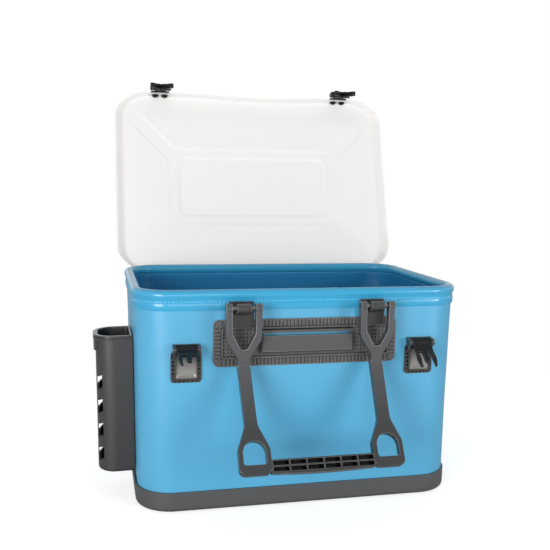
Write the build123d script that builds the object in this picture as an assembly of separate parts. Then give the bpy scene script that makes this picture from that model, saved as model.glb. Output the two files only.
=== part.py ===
from build123d import *
import math
import os

os.makedirs("parts", exist_ok=True)

# Fishing box: a welded sheet tub on a moulded base, with a hinged lid, two bent carrying handles,
# two side-release clips and a rod holder. Millimetres. X runs to the right, Y to the back, Z up.
# The origin is on the floor, under the middle of the base. The lid is modelled closed and then
# turned open, so everything on it is placed in its closed position.

# Tub
foot_width = 386.0
top_width = 394.0
wall_depth = 258.0
wall_corner_radius = 42.0
wall_thickness = 2.5
floor_thickness = 2.5
seam_width = 20.0
seam_thickness = 1.2
seam_offset = 9.0

# Rim
rim_height = 259.0
bead_diameter = 12.0
bead_overhang = 3.0
core_diameter = 6.0
core_play = 0.2
hem_thickness = 1.0
hem_height = 13.0

# Base pan
base_height = 23.5
base_bottom = 3.5
base_lip = 2.2
base_edge_radius = 5.0

# Lid
lid_thickness = 2.4
lid_side_gap = 7.0
lid_side_slope = 12.0
lid_front_gap = 4.0
lid_rear_gap = 1.2
lid_seat_gap = 0.8
lid_skirt_depth = 12.7
lid_corner_radius = 40.0
relief_y = 4.0
pad_width = 232.0
pad_depth = 94.0
pad_radius = 14.0
pad_rise = 1.6
panel_depth = 1.0
panel_side_inner = 130.0
panel_side_margin = 23.4
panel_end_inner = 58.5
panel_end_margin = 21.6
panel_gap = 28.5
panel_slope = 1.07
lid_open_angle = 107.0

# Lid hinge strip
hinge_reach = 7.5
hinge_drop = 11.5
strip_thickness = 1.6
strip_fold_gap = 1.4
strip_length = 300.0
strip_weld = 8.0
strip_notch_play = 3.0

# Carrying handle and its plate, drawn for the front and mirrored for the rear
plate_width = 220.0
plate_drop = 89.0
plate_height = 54.5
plate_thickness = 2.0
plate_corner_radius = 7.0
plate_border = 9.5
rib_pitch = 4.4
rib_width = 2.2
rib_height = 0.9
tray_wall = 1.4
tray_rise = 1.8
waffle_height = 0.7
waffle_width = 1.3
waffle_inner = 61.0
grip_opening_width = 104.0
grip_opening_height = 19.7
grip_opening_low = 19.0
grip_frame_rise = 4.0
grip_frame_width = 4.6
bridge_height = 18.0
bridge_thickness = 3.0
bridge_standoff = 8.5
bridge_end = 4.0
plate_end_to_pin = 31.5
hinge_pin_diameter = 5.0
hinge_pin_standoff = 21.0
hinge_pin_drop = 18.5
hinge_pin_end = 0.4
hinge_play = 0.08
eye_radius = 5.4
eye_width = 16.0
bracket_width = 29.0
bracket_thickness = 4.0
bracket_play = 0.6
rear_drop = 6.5

fork_width = 41.0
fork_window = 27.0
fork_thickness = 9.0
fork_eye_radius = 5.6
fork_straight = 35.0
fork_shoulder = 56.0
fork_window_straight = 28.0
fork_window_bottom = 46.0
fork_length = 66.0
arm_width = 14.0
arm_bend = 32.0
arm_thickness = 9.0
arm_to_hole = 98.0
arm_edge_radius = 1.2
arm_draw_in = 3.0
frame_width = 35.5
frame_hole_width = 25.5
frame_hole_height = 25.5
frame_bottom = 11.0
frame_shoulder = 34.0
grip_height = 14.6
grip_depth = 14.0
grip_wall = 1.5
grip_cells = 6
grip_pocket_depth = 9.0
grip_bow = 1.8

# Clips
clip_to_side = 56.5
clip_pin_diameter = 3.0
clip_play = 0.06
clip_base_width = 35.0
clip_base_drop = 105.5
clip_base_height = 36.0
clip_base_thickness = 2.0
clip_base_border = 4.2
clip_base_radius = 4.0
clip_dish_rise = 2.4
clip_rib_height = 1.5
clip_rib_pitch = 4.8
clip_pin_standoff = 9.5
clip_pin_rise = 39.5
clip_lug_width = 2.8
clip_lug_radius = 3.9
clip_lug_gap = 0.4
clip_barrel_length = 24.6
clip_barrel_radius = 4.0
plug_length = 35.0
plug_web = 14.5
plug_thickness = 3.2
plug_arm_spacing = 19.0
plug_arm_width = 4.6
plug_arm_root = 2.4
plug_guide_width = 6.4
plug_guide_length = 29.0
left_plug_angle = 76.0
right_plug_angle = 48.0

tab_width = 27.0
tab_thickness = 2.2
tab_top_gap = 1.6
tab_pin_standoff = 4.6
tab_pin_drop = 6.5
tab_barrel_length = 17.0
tab_barrel_radius = 3.2
rivet_spacing = 14.0
rivet_diameter = 4.0
rivet_head_diameter = 9.3
rivet_head_height = 2.9
rivet_rise = 5.5
socket_width = 30.0
socket_thickness = 8.6
socket_length = 32.0
socket_block = 10.0
socket_waist = 17.0
socket_mouth_width = 24.0
socket_mouth_thickness = 3.6
socket_leg_width = 6.6
socket_leg_splay = 9.6
socket_rest_angle = 16.0

# Rod holder
rod_y = -40.0
rod_depth = 60.0
rod_reach = 43.2
rod_wall = 3.0
rod_bottom = 30.0
rod_top = 196.0
rod_outer_radius = 22.0
rod_inner_corner = 4.0
rod_backing_thickness = 0.8
rod_backing_width = 57.0
rod_backing_bottom = 36.0
rod_backing_top = 192.0
rod_window_height = 19.0
rod_window_pitch = 29.3
rod_window_count = 4
rod_window_first = 42.5
rod_window_inset = 1.4
rod_window_width = 5.4
rod_window_slant = 3.0
collar_height = 3.5
collar_lip = 2.8
collar_skirt_height = 18.0
collar_skirt_width = 34.0
collar_edge_radius = 1.2

# Derived places
bead_radius = bead_diameter / 2
bead_z = rim_height - bead_radius
bead_outside = bead_overhang
hem_top = bead_z - bead_radius
hem_bottom = hem_top - hem_height
front_wall = -wall_depth / 2
rim_width = top_width + 2 * bead_overhang
rim_depth = wall_depth + 2 * bead_overhang
pin_y = front_wall - hinge_pin_standoff
plate_bottom = rim_height - plate_drop
hinge_pin_height = rim_height - hinge_pin_drop
hinge_pin_spacing = plate_width - 2 * plate_end_to_pin
hole_spacing = hinge_pin_spacing - 2 * arm_draw_in
clip_spacing = top_width - 2 * clip_to_side
clip_base_bottom = rim_height - clip_base_drop
clip_pin_height = clip_base_bottom + clip_pin_rise
hinge_y = wall_depth / 2 + hinge_reach
hinge_z = rim_height - hinge_drop
strip_bottom = hem_bottom - strip_weld
side_lean = math.degrees(math.atan((top_width - foot_width) / 2 / bead_z))


def save(shape, name, label=None):
    """Write one node's solid or solids to its own STEP file."""
    shape.label = label or name
    export_step(shape, f"parts/{name}.step")


def mirrored_back(shape):
    """The rear twin of a piece of the front wall, set lower so that it clears the open lid."""
    return Pos(0, 0, -rear_drop) * mirror(shape, about=Plane.XZ)


def block(x_low, x_high, y_low, y_high, z_low, z_high):
    """A box given by its limits along each axis."""
    size = (x_high - x_low, y_high - y_low, z_high - z_low)
    middle = ((x_low + x_high) / 2, (y_low + y_high) / 2, (z_low + z_high) / 2)
    return Pos(*middle) * Box(*size)


def rod_x(radius, x_low, x_high, y, z):
    """A cylinder that runs along X."""
    middle = Pos((x_low + x_high) / 2, y, z)
    return middle * Rot(0, 90, 0) * Cylinder(radius, x_high - x_low)


def outline_xz(points, y_low, y_high):
    """A prism of an outline in X and Z, between two values of Y."""
    wire = Polyline(*[(x, y_high, z) for x, z in points], close=True)
    return extrude(make_face(wire), amount=y_high - y_low, dir=(0, -1, 0))


def outline_yz(points, x_low, x_high):
    """A prism of an outline in Y and Z, between two values of X."""
    wire = Polyline(*[(x_low, y, z) for y, z in points], close=True)
    return extrude(make_face(wire), amount=x_high - x_low, dir=(1, 0, 0))


def wall_outline(z, out):
    """The tub's outer outline at a height, moved out by a distance."""
    width = foot_width + (top_width - foot_width) * z / bead_z + 2 * out
    depth = wall_depth + 2 * out
    return Pos(0, 0, z) * RectangleRounded(width, depth, wall_corner_radius + out)


def wall_block(z_low, z_high, out):
    """The solid inside the tub's outline, from one height to another."""
    return loft([wall_outline(z_low, out), wall_outline(z_high, out)], ruled=True)


def rim_loop(radius):
    """A round loop along the middle of the rim bead."""
    inset = bead_outside - bead_radius
    outline = RectangleRounded(top_width + 2 * inset, wall_depth + 2 * inset, wall_corner_radius + inset)
    path = Pos(0, 0, bead_z) * outline.wire()
    start = path @ 0
    section = Plane(origin=start, z_dir=path % 0) * Circle(radius)
    return sweep(section, path=path)


def tub():
    bead = rim_loop(bead_radius)
    inside = wall_block(base_bottom, rim_height, -wall_thickness)
    wall = wall_block(base_bottom, bead_z, 0) - inside - bead
    seam_top = hem_bottom - 1
    seam_bottom = base_bottom + floor_thickness
    seam_face = wall_depth / 2 - wall_thickness
    seam_left = seam_offset - seam_width / 2
    seam = block(seam_left, seam_left + seam_width, seam_face - seam_thickness, seam_face, seam_bottom, seam_top)
    save(wall + seam, "tub_wall")
    save(wall_block(base_bottom, base_bottom + floor_thickness, -wall_thickness), "tub_floor")

    outer_leg = wall_block(hem_bottom, bead_z, hem_thickness) - wall_block(hem_bottom, bead_z, 0)
    leg_inside = -wall_thickness - hem_thickness
    inner_leg = wall_block(hem_bottom, bead_z, -wall_thickness) - wall_block(hem_bottom, bead_z, leg_inside)
    bore = rim_loop(core_diameter / 2 + core_play)
    save(bead + outer_leg + inner_leg - bore, "rim_binding")
    save(rim_loop(core_diameter / 2), "rim_core")


def base_pan():
    pan = wall_block(0, base_height, base_lip)
    pan = fillet(pan.edges().group_by(Axis.Z)[0], base_edge_radius)
    save(pan - wall_block(base_bottom, base_height, 0), "base_pan")


# Lid, drawn closed
lid_under = rim_height + lid_seat_gap
lid_top = lid_under + lid_thickness
lid_half_width = rim_width / 2 + lid_side_gap + lid_thickness
lid_front = -(rim_depth / 2 + lid_front_gap + lid_thickness)
lid_rear = rim_depth / 2 + lid_rear_gap + lid_thickness
lid_skirt_bottom = lid_top - lid_skirt_depth
lid_middle = (lid_rear + lid_front) / 2
tab_pin_height = lid_skirt_bottom - tab_pin_drop
rivet_height = lid_skirt_bottom + rivet_rise
panel_side_outer = lid_half_width - panel_side_margin
panel_end_outer = (lid_rear - lid_front) / 2 - lid_thickness - panel_end_margin


def lid_outline(z, inset):
    """The lid's outline at a height, drawn in by a distance. Its sides slope in towards the top."""
    slope = lid_side_slope * (z - lid_skirt_bottom) / lid_skirt_depth
    width = 2 * (lid_half_width - inset - slope)
    depth = lid_rear - lid_front - 2 * inset
    return Pos(0, lid_middle, z) * RectangleRounded(width, depth, lid_corner_radius - inset)


def lid_block(z_low, z_high, inset):
    return loft([lid_outline(z_low, inset), lid_outline(z_high, inset)], ruled=True)


def opened(shape):
    """Turn a piece of the closed lid to where it stands open."""
    return shape.rotate(Axis((0, hinge_y, hinge_z), (1, 0, 0)), -lid_open_angle)


def lid_panels():
    """The four shallow panels that stand in from the lid's underside, between its diagonal bands."""
    side_low = panel_end_inner - panel_gap + panel_slope * 9.0
    side_high = side_low + panel_slope * (panel_side_outer - panel_side_inner)
    end_low = panel_side_inner - 9.0
    end_high = end_low + (panel_end_outer - panel_end_inner) / panel_slope
    side = [
        (panel_side_inner, -side_low), (panel_side_outer, -side_high),
        (panel_side_outer, side_high), (panel_side_inner, side_low),
    ]
    end = [
        (-end_low, panel_end_inner), (end_low, panel_end_inner),
        (end_high, panel_end_outer), (-end_high, panel_end_outer),
    ]
    panels = []
    for points in (side, [(-x, y) for x, y in side], end, [(x, -y) for x, y in end]):
        wire = Polyline(*[(x, y + relief_y, lid_under - panel_depth) for x, y in points], close=True)
        panels.append(extrude(make_face(wire), amount=panel_depth + 0.5, dir=(0, 0, 1)))
    return panels


def lid():
    body = lid_block(lid_skirt_bottom, lid_top, 0)
    body = fillet(body.edges().group_by(Axis.Z)[-1], lid_thickness)
    body -= lid_block(lid_skirt_bottom, lid_under, lid_thickness)
    body += lid_panels()
    outer_pad = RectangleRounded(pad_width + 2 * lid_thickness, pad_depth + 2 * lid_thickness, pad_radius + lid_thickness)
    body += Pos(0, relief_y, lid_top) * extrude(outer_pad, amount=pad_rise)
    body -= Pos(0, relief_y, lid_under) * extrude(RectangleRounded(pad_width, pad_depth, pad_radius), amount=pad_rise)
    holes = [
        rod_y_at(rivet_diameter / 2, x, lid_front - 1, lid_front + lid_thickness + 1, rivet_height)
        for x in rivet_places()
    ]
    save(opened(body - holes), "lid_shell")


def rod_y_at(radius, x, y_low, y_high, z):
    """A cylinder that runs along Y."""
    return Pos(x, (y_low + y_high) / 2, z) * Rot(90, 0, 0) * Cylinder(radius, y_high - y_low)


def rivet_places():
    return [side * clip_spacing / 2 + step * rivet_spacing / 2 for side in (-1, 1) for step in (-1, 1)]


def lid_rivets():
    """Rivets with a domed head inside the skirt and a flat one outside the tab."""
    rivets = []
    for x in rivet_places():
        inner_face = lid_front + lid_thickness
        outer_face = lid_front - tab_thickness
        shank = rod_y_at(rivet_diameter / 2, x, outer_face, inner_face, rivet_height)
        head = rod_y_at(rivet_head_diameter / 2, x, inner_face, inner_face + rivet_head_height, rivet_height)
        head = fillet(head.edges().group_by(Axis.Y)[-1], rivet_head_height * 0.9)
        cap = rod_y_at(rivet_head_diameter / 2, x, outer_face - 1.2, outer_face, rivet_height)
        cap = fillet(cap.edges().group_by(Axis.Y)[0], 0.9)
        rivets.append(opened(shank + head + cap))
    save(Compound(children=rivets), "lid_rivets")


def hinge_strip():
    """Flexible strip, welded to the hem behind and to the lid's rear skirt, folding along the hinge line."""
    half = strip_thickness / 2
    wall_face = wall_depth / 2 + hem_thickness
    bend = hinge_z - (hinge_y - wall_face)
    fold = hinge_z - strip_fold_gap
    shape = [
        (wall_face, strip_bottom),
        (wall_face + strip_thickness, strip_bottom),
        (wall_face + strip_thickness, bend - strip_fold_gap),
        (hinge_y + half, fold - strip_thickness),
        (hinge_y + half, fold),
        (hinge_y - half, fold),
        (hinge_y - half, fold - half),
        (wall_face, bend),
    ]
    inner = hinge_pin_spacing / 2 - fork_width / 2 - strip_notch_play
    outer = hinge_pin_spacing / 2 + fork_width / 2 + strip_notch_play
    lengths = [(-strip_length / 2, -outer), (-inner, inner), (outer, strip_length / 2)]
    tub_half = [outline_yz(shape, low, high) for low, high in lengths]
    weld = block(-strip_length / 2, strip_length / 2, wall_depth / 2, wall_face, strip_bottom, hem_bottom)
    tub_half = [piece + (weld & block(low, high, 0, wall_depth, 0, rim_height))
                for piece, (low, high) in zip(tub_half, lengths)]
    save(Compound(children=tub_half), "hinge_strip_tub")
    lid_half = block(
        -strip_length / 2, strip_length / 2, lid_rear, lid_rear + strip_thickness, hinge_z + strip_fold_gap, lid_top - 1
    )
    save(opened(lid_half), "hinge_strip_lid")


def ribs_along(x_low, x_high, z_low, z_high, face, along_x, pitch=rib_pitch, width=rib_width, rise=rib_height):
    """A row of small upright ribs across one side of a plate's border."""
    ribs = []
    length = (x_high - x_low) if along_x else (z_high - z_low)
    count = int(length / pitch)
    for i in range(count):
        place = (i + 0.5 - count / 2) * pitch
        if along_x:
            x = (x_low + x_high) / 2 + place
            ribs.append(block(x - width / 2, x + width / 2, face - rise, face, z_low, z_high))
        else:
            z = (z_low + z_high) / 2 + place
            ribs.append(block(x_low, x_high, face - rise, face, z - width / 2, z + width / 2))
    return ribs


def framed(x, z, width, height, thickness, rise, y):
    """A raised frame that stands out of a face at y, with sloped sides."""
    base = Plane(origin=(x, y, z), x_dir=(1, 0, 0), z_dir=(0, -1, 0))
    outer = loft([
        base * Rectangle(width + 2 * thickness, height + 2 * thickness),
        base.offset(rise) * Rectangle(width + thickness, height + thickness),
    ], ruled=True)
    hollow = base * Rectangle(width, height)
    return outer - extrude(hollow, amount=rise)


def handle_plate():
    """Welded plate: ribbed border, tray, finger opening with a raised frame, and a bridge across it."""
    middle_z = plate_bottom + plate_height / 2
    face = front_wall - plate_thickness
    half = plate_width / 2
    plane = Plane(origin=(0, front_wall, middle_z), x_dir=(1, 0, 0), z_dir=(0, -1, 0))
    plate = extrude(plane * RectangleRounded(plate_width, plate_height, plate_corner_radius), amount=plate_thickness)
    margin = 1.2
    top = plate_bottom + plate_height
    corner = plate_border
    ribs = ribs_along(-half + corner, half - corner, plate_bottom + margin, plate_bottom + plate_border - 1, face, True)
    ribs += ribs_along(-half + corner, half - corner, top - plate_border + 1, top - margin, face, True)
    ribs += ribs_along(-half + margin, -half + plate_border - 1, plate_bottom + corner, top - corner, face, False)
    ribs += ribs_along(half - plate_border + 1, half - margin, plate_bottom + corner, top - corner, face, False)
    for side_x in (-1, 1):
        for side_z in (-1, 1):
            pivot = Pos(side_x * (half - corner), 0, middle_z + side_z * (plate_height / 2 - corner))
            for turn in (22.5, 45, 67.5):
                rib = block(1.5, corner - 2, face - rib_height, face, -rib_width / 2, rib_width / 2)
                angle = turn if side_z > 0 else -turn
                angle = angle if side_x > 0 else 180 - angle
                ribs.append(pivot * Rot(0, -angle, 0) * rib)
    tray_x = plate_width - 2 * plate_border
    tray_z = plate_height - 2 * plate_border
    tray = extrude(plane.offset(plate_thickness) * RectangleRounded(tray_x, tray_z, 3), amount=tray_rise)
    tray -= extrude(
        plane.offset(plate_thickness) * RectangleRounded(tray_x - 2 * tray_wall, tray_z - 2 * tray_wall, 2),
        amount=tray_rise,
    )
    waffle_end = tray_x / 2 - tray_wall - 0.6
    waffle_low = middle_z - tray_z / 2 + tray_wall + 0.6
    waffle_high = middle_z + tray_z / 2 - tray_wall - 0.6
    for low, high in ((-waffle_end, -waffle_inner), (waffle_inner, waffle_end)):
        for along_x in (True, False):
            ribs += ribs_along(
                low, high, waffle_low, waffle_high, face, along_x, width=waffle_width, rise=waffle_height
            )
    opening_z = plate_bottom + grip_opening_low + grip_opening_height / 2
    frame = framed(0, opening_z, grip_opening_width, grip_opening_height, grip_frame_width, grip_frame_rise, face)
    opening = block(
        -grip_opening_width / 2, grip_opening_width / 2, face - grip_frame_rise - 1, front_wall + 1,
        opening_z - grip_opening_height / 2, opening_z + grip_opening_height / 2,
    )
    bridge_out = face - bridge_standoff
    end_x = grip_opening_width / 2 + bridge_end
    low = middle_z - bridge_height / 2
    bridge = block(-end_x, end_x, bridge_out, face, low, low + bridge_height)
    bridge = fillet(bridge.edges().filter_by(Axis.Z).group_by(Axis.Y)[0], bridge_thickness + 1.5)
    hollow_x = end_x - bridge_end
    hollow = block(-hollow_x, hollow_x, bridge_out + bridge_thickness, face + 1, low - 1, low + bridge_height + 1)
    bridge -= fillet(hollow.edges().filter_by(Axis.Z).group_by(Axis.Y)[0], 1.5)
    return plate + ribs + [tray] + [frame] - opening + bridge


def handle_bracket(side):
    """Hinge bracket: back plate on the wall above the welded plate, and an eye on a web round the pin."""
    x = side * hinge_pin_spacing / 2
    z = hinge_pin_height
    low = plate_bottom + plate_height - plate_border + bracket_play
    top = z + eye_radius
    half = bracket_width / 2
    face = front_wall - hem_thickness
    back = block(x - half, x + half, face - bracket_thickness, face, top - 14, top)
    foot = block(x - half, x + half, front_wall - plate_thickness - rib_height - bracket_thickness,
                 front_wall - plate_thickness - rib_height - 0.1, low, top - 14 + 4)
    back += foot
    eye = rod_x(eye_radius, x - eye_width / 2, x + eye_width / 2, pin_y, z)
    web = outline_yz(
        [(pin_y, z - eye_radius), (face, z - eye_radius - 6), (face, top - 2), (pin_y, z + 1)],
        x - eye_width / 2,
        x + eye_width / 2,
    )
    return back + eye + web - rod_x(hinge_pin_diameter / 2, x - half - 1, x + half + 1, pin_y, z)


def handle_pins():
    """Hinge pins, pressed into the brackets' eyes, that carry the legs of the forks."""
    pins = []
    for side in (-1, 1):
        x = side * hinge_pin_spacing / 2
        half = fork_width / 2
        reach = half + hinge_pin_end
        pins.append(rod_x(hinge_pin_diameter / 2, x - reach, x + reach, pin_y, hinge_pin_height))
    return Compound(children=pins)


def fork(side):
    """The upper part of one arm: two legs round the pin, drawn together into the arm."""
    x = side * hinge_pin_spacing / 2
    z = hinge_pin_height
    half = fork_width / 2
    inner = fork_window / 2
    y_low = pin_y - fork_thickness / 2
    y_high = pin_y + fork_thickness / 2
    knee = z - fork_length
    narrow = arm_width / 2
    points = [
        (x - half, z), (x - half, z - fork_straight), (x - narrow, z - fork_shoulder), (x - narrow, knee),
        (x + narrow, knee), (x + narrow, z - fork_shoulder), (x + half, z - fork_straight), (x + half, z),
    ]
    body = outline_xz(points, y_low, y_high)
    body = fillet(body.edges().filter_by(Axis.Y).group_by(Axis.Z)[2], 10)
    body = fillet(body.edges().filter_by(Axis.Y).group_by(Axis.Z)[1], 6)
    front = body.faces().group_by(Axis.Y)[0]
    sides = front.edges().filter_by(lambda e: knee + 1 < e.center().Z < z - 1)
    body = fillet(sides, arm_edge_radius)
    for leg in (-1, 1):
        low = min(x + leg * half, x + leg * inner)
        body += rod_x(fork_eye_radius, low, low + half - inner, pin_y, z)
    window = outline_xz(
        [
            (x - inner, z + fork_eye_radius + 1), (x - inner, z - fork_window_straight),
            (x - 4, z - fork_window_bottom), (x + 4, z - fork_window_bottom),
            (x + inner, z - fork_window_straight), (x + inner, z + fork_eye_radius + 1),
        ],
        pin_y - 20, pin_y + 20,
    )
    window = fillet(window.edges().filter_by(Axis.Y).group_by(Axis.Z)[0], 5)
    window = fillet(window.edges().filter_by(Axis.Y).group_by(Axis.Z)[2], 8)
    bore = rod_x(hinge_pin_diameter / 2 + hinge_play, x - half - 1, x + half + 1, pin_y, z)
    return body - window - bore


def lower_arm(side):
    """The lower part of one arm, a bar that widens into a D-shaped frame, placed in its bent plane."""
    top_x = side * hinge_pin_spacing / 2
    low_x = side * hole_spacing / 2
    length = arm_to_hole + frame_hole_height / 2 + frame_bottom
    shoulder = arm_to_hole - frame_hole_height / 2 - frame_shoulder / 2
    shoulder_x = top_x + (low_x - top_x) * shoulder / arm_to_hole
    half = frame_width / 2
    outline = Polyline(
        (top_x - arm_width / 2, 2), (shoulder_x - arm_width / 2, -shoulder),
        (low_x - half, -(shoulder + frame_shoulder * 0.75)), (low_x - half, -length), (low_x + half, -length),
        (low_x + half, -(shoulder + frame_shoulder * 0.75)), (shoulder_x + arm_width / 2, -shoulder),
        (top_x + arm_width / 2, 2), close=True,
    )
    face = make_face(outline)
    corners = face.vertices()
    low_corners = corners.group_by(Axis.Y)[0]
    face = fillet(low_corners, 7)
    face = fillet(face.vertices().sort_by(lambda v: abs(v.Y + shoulder))[:2], 26)
    face = fillet(face.vertices().sort_by(lambda v: abs(v.Y + shoulder + frame_shoulder * 0.75))[:2], 14)
    body = extrude(face, amount=arm_thickness / 2, both=True)
    rim = body.edges().group_by(Axis.Z)[-1].filter_by(lambda e: e.center().Y < -1)
    body = fillet(rim, arm_edge_radius)
    radius = frame_hole_width / 2
    hole_low = arm_to_hole + frame_hole_height / 2
    hole_face = Pos(low_x, -arm_to_hole) * RectangleRounded(frame_hole_width, frame_hole_height, 3)
    hole_top = Pos(low_x, -(hole_low - frame_hole_height + radius)) * Circle(radius)
    hole_box = Pos(low_x, -(hole_low - (frame_hole_height - radius) / 2)) * RectangleRounded(
        frame_hole_width, frame_hole_height - radius, 3
    )
    hole_mid = Pos(low_x, -(hole_low - (frame_hole_height - radius) + 2)) * Rectangle(frame_hole_width, 6)
    hole = extrude(hole_top + hole_box + hole_mid, amount=arm_thickness, both=True)
    return bent_plane().location * (body - hole)


def bent_plane():
    """Plane of the lower arms: its origin at the knee, its Y axis back up along the arm."""
    knee = (0, pin_y, hinge_pin_height - fork_length)
    lean = math.radians(arm_bend)
    outward = (0, -math.cos(lean), math.sin(lean))
    return Plane(origin=knee, x_dir=(1, 0, 0), z_dir=outward)


def grip():
    """Half-round grip between the frames, open on its outer face in two rows of pockets."""
    half = hole_spacing / 2 - frame_width / 2 + 0.5
    middle = arm_to_hole + frame_hole_height / 2 + frame_bottom - grip_height / 2 - 1
    front = arm_thickness / 2
    back = grip_depth - front
    bar = block(-half, half, -middle - grip_height / 2, -middle + grip_height / 2, -back, front)
    bar = fillet(bar.edges().filter_by(Axis.X).group_by(Axis.Z)[0], grip_height / 2 - 1)
    bar = fillet(bar.edges().filter_by(Axis.X).group_by(Axis.Z)[-1], 0.8)
    low = -middle - grip_height / 2
    arc = ThreePointArc((-half, low), (0, low - grip_bow), (half, low))
    belly = make_face(arc + Line((half, low), (-half, low)))
    bar += extrude(Pos(0, 0, -back + 4) * belly, amount=grip_depth - 5)
    pitch = (2 * half - grip_wall) / grip_cells
    row = (grip_height - 3 * grip_wall) / 2
    pockets = []
    for i in range(grip_cells):
        for j in (-1, 1):
            x = (i + 0.5 - grip_cells / 2) * pitch
            s = middle + j * (row + grip_wall) / 2
            cell = Pos(x, -s, front - grip_pocket_depth) * RectangleRounded(pitch - grip_wall, row, 1)
            pockets.append(extrude(cell, amount=grip_pocket_depth + 1))
    return bent_plane().location * (bar - pockets)


def carrying_handle():
    """One handle: two forks, two bent arms with their frames, and the grip."""
    handle = grip()
    knee_z = hinge_pin_height - fork_length
    for side in (-1, 1):
        x = side * hinge_pin_spacing / 2
        handle += fork(side)
        handle += lower_arm(side)
        handle += rod_x(fork_thickness / 2, x - arm_width / 2, x + arm_width / 2, pin_y, knee_z)
    return handle


def wall_clip_base(side):
    """Small welded plate with a ribbed border, a shallow dish and two lugs for the clip's pin."""
    x = side * clip_spacing / 2
    half = clip_base_width / 2
    top = clip_base_bottom + clip_base_height
    face = front_wall - clip_base_thickness
    middle_z = (clip_base_bottom + top) / 2
    plane = Plane(origin=(x, front_wall, middle_z), x_dir=(1, 0, 0), z_dir=(0, -1, 0))
    plate = extrude(plane * RectangleRounded(clip_base_width, clip_base_height, clip_base_radius), amount=clip_base_thickness)
    edge = clip_base_border
    rib = {"pitch": clip_rib_pitch, "rise": clip_rib_height}
    ribs = ribs_along(x - half + edge, x + half - edge, clip_base_bottom + 0.4, clip_base_bottom + edge - 0.6, face, True, **rib)
    ribs += ribs_along(x - half + 0.4, x - half + edge - 0.6, clip_base_bottom + edge, top - edge, face, False, **rib)
    ribs += ribs_along(x + half - edge + 0.6, x + half - 0.4, clip_base_bottom + edge, top - edge, face, False, **rib)
    dish_w = clip_base_width - 2 * edge
    dish_h = clip_base_height - 2 * edge
    dish = extrude(plane.offset(clip_base_thickness) * RectangleRounded(dish_w, dish_h, 3), amount=clip_dish_rise)
    scoop = loft([
        plane.offset(clip_base_thickness + clip_dish_rise) * RectangleRounded(dish_w - 3, dish_h - 3, 2.5),
        plane.offset(clip_base_thickness + 0.4) * RectangleRounded(dish_w - 9, dish_h - 9, 2),
    ], ruled=True)
    base = plate + ribs + [dish] - scoop
    pin_place = front_wall - clip_pin_standoff
    lug_inner = clip_barrel_length / 2 + clip_lug_gap
    for end in (-1, 1):
        near = x + end * lug_inner
        far = near + end * clip_lug_width
        low, high = min(near, far), max(near, far)
        lug = outline_yz(
            [
                (front_wall, top - 2), (front_wall, clip_pin_height + clip_lug_radius + 1),
                (pin_place, clip_pin_height + clip_lug_radius), (pin_place, clip_pin_height - clip_lug_radius),
                (face - clip_dish_rise + 0.4, top - 10), (front_wall, top - 10),
            ],
            low, high,
        )
        base += lug + rod_x(clip_lug_radius, low, high, pin_place, clip_pin_height)
    back = block(x - lug_inner - clip_lug_width, x + lug_inner + clip_lug_width, face, front_wall, top - 4,
                 clip_pin_height + clip_lug_radius + 1)
    base += back
    bore = rod_x(clip_pin_diameter / 2, x - half, x + half, pin_place, clip_pin_height)
    return base - bore


def wall_clip_pins():
    pins = []
    for side in (-1, 1):
        x = side * clip_spacing / 2
        reach = clip_barrel_length / 2 + clip_lug_gap + clip_lug_width
        pins.append(rod_x(clip_pin_diameter / 2, x - reach, x + reach, front_wall - clip_pin_standoff, clip_pin_height))
    return Compound(children=pins)


def plug(side, angle):
    """Plug half of a clip, drawn hanging straight down from its barrel and then swung outward."""
    x = side * clip_spacing / 2
    y = front_wall - clip_pin_standoff
    z = clip_pin_height
    half = plug_thickness / 2
    barrel = rod_x(clip_barrel_radius, x - clip_barrel_length / 2, x + clip_barrel_length / 2, y, z)
    root = clip_barrel_length / 2 - 1
    bridge = outline_xz(
        [(x - root, z), (x + root, z), (x + root - 1.4, z - plug_web), (x - root + 1.4, z - plug_web)], y - half, y + half
    )
    guide = outline_xz(
        [
            (x - plug_guide_width / 2, z - plug_web + 1), (x + plug_guide_width / 2, z - plug_web + 1),
            (x + plug_guide_width / 2 - 0.6, z - plug_guide_length), (x - plug_guide_width / 2 + 0.6, z - plug_guide_length),
        ],
        y - half, y + half,
    )
    guide = fillet(guide.edges().filter_by(Axis.Y).group_by(Axis.Z)[0], 2.2)
    body = barrel + bridge + guide
    for end in (-1, 1):
        middle = x + end * plug_arm_spacing / 2
        thin = plug_arm_root / 2
        wide = plug_arm_width / 2
        arm = outline_xz(
            [
                (middle - thin, z - 6), (middle + thin, z - 6), (middle + thin + end * 0.2, z - 15),
                (middle + wide, z - 24), (middle + wide - 0.8, z - 30), (middle + 0.9 - end * 0.8, z - plug_length),
                (middle - 0.9 - end * 0.8, z - plug_length), (middle - wide + 0.8, z - 30), (middle - wide, z - 24),
                (middle - thin + end * 0.2, z - 15),
            ],
            y - half, y + half,
        )
        body += arm
    body -= rod_x(clip_pin_diameter / 2 + clip_play, x - clip_barrel_length, x + clip_barrel_length, y, z)
    return body.rotate(Axis((0, y, z), (1, 0, 0)), -angle)


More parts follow.
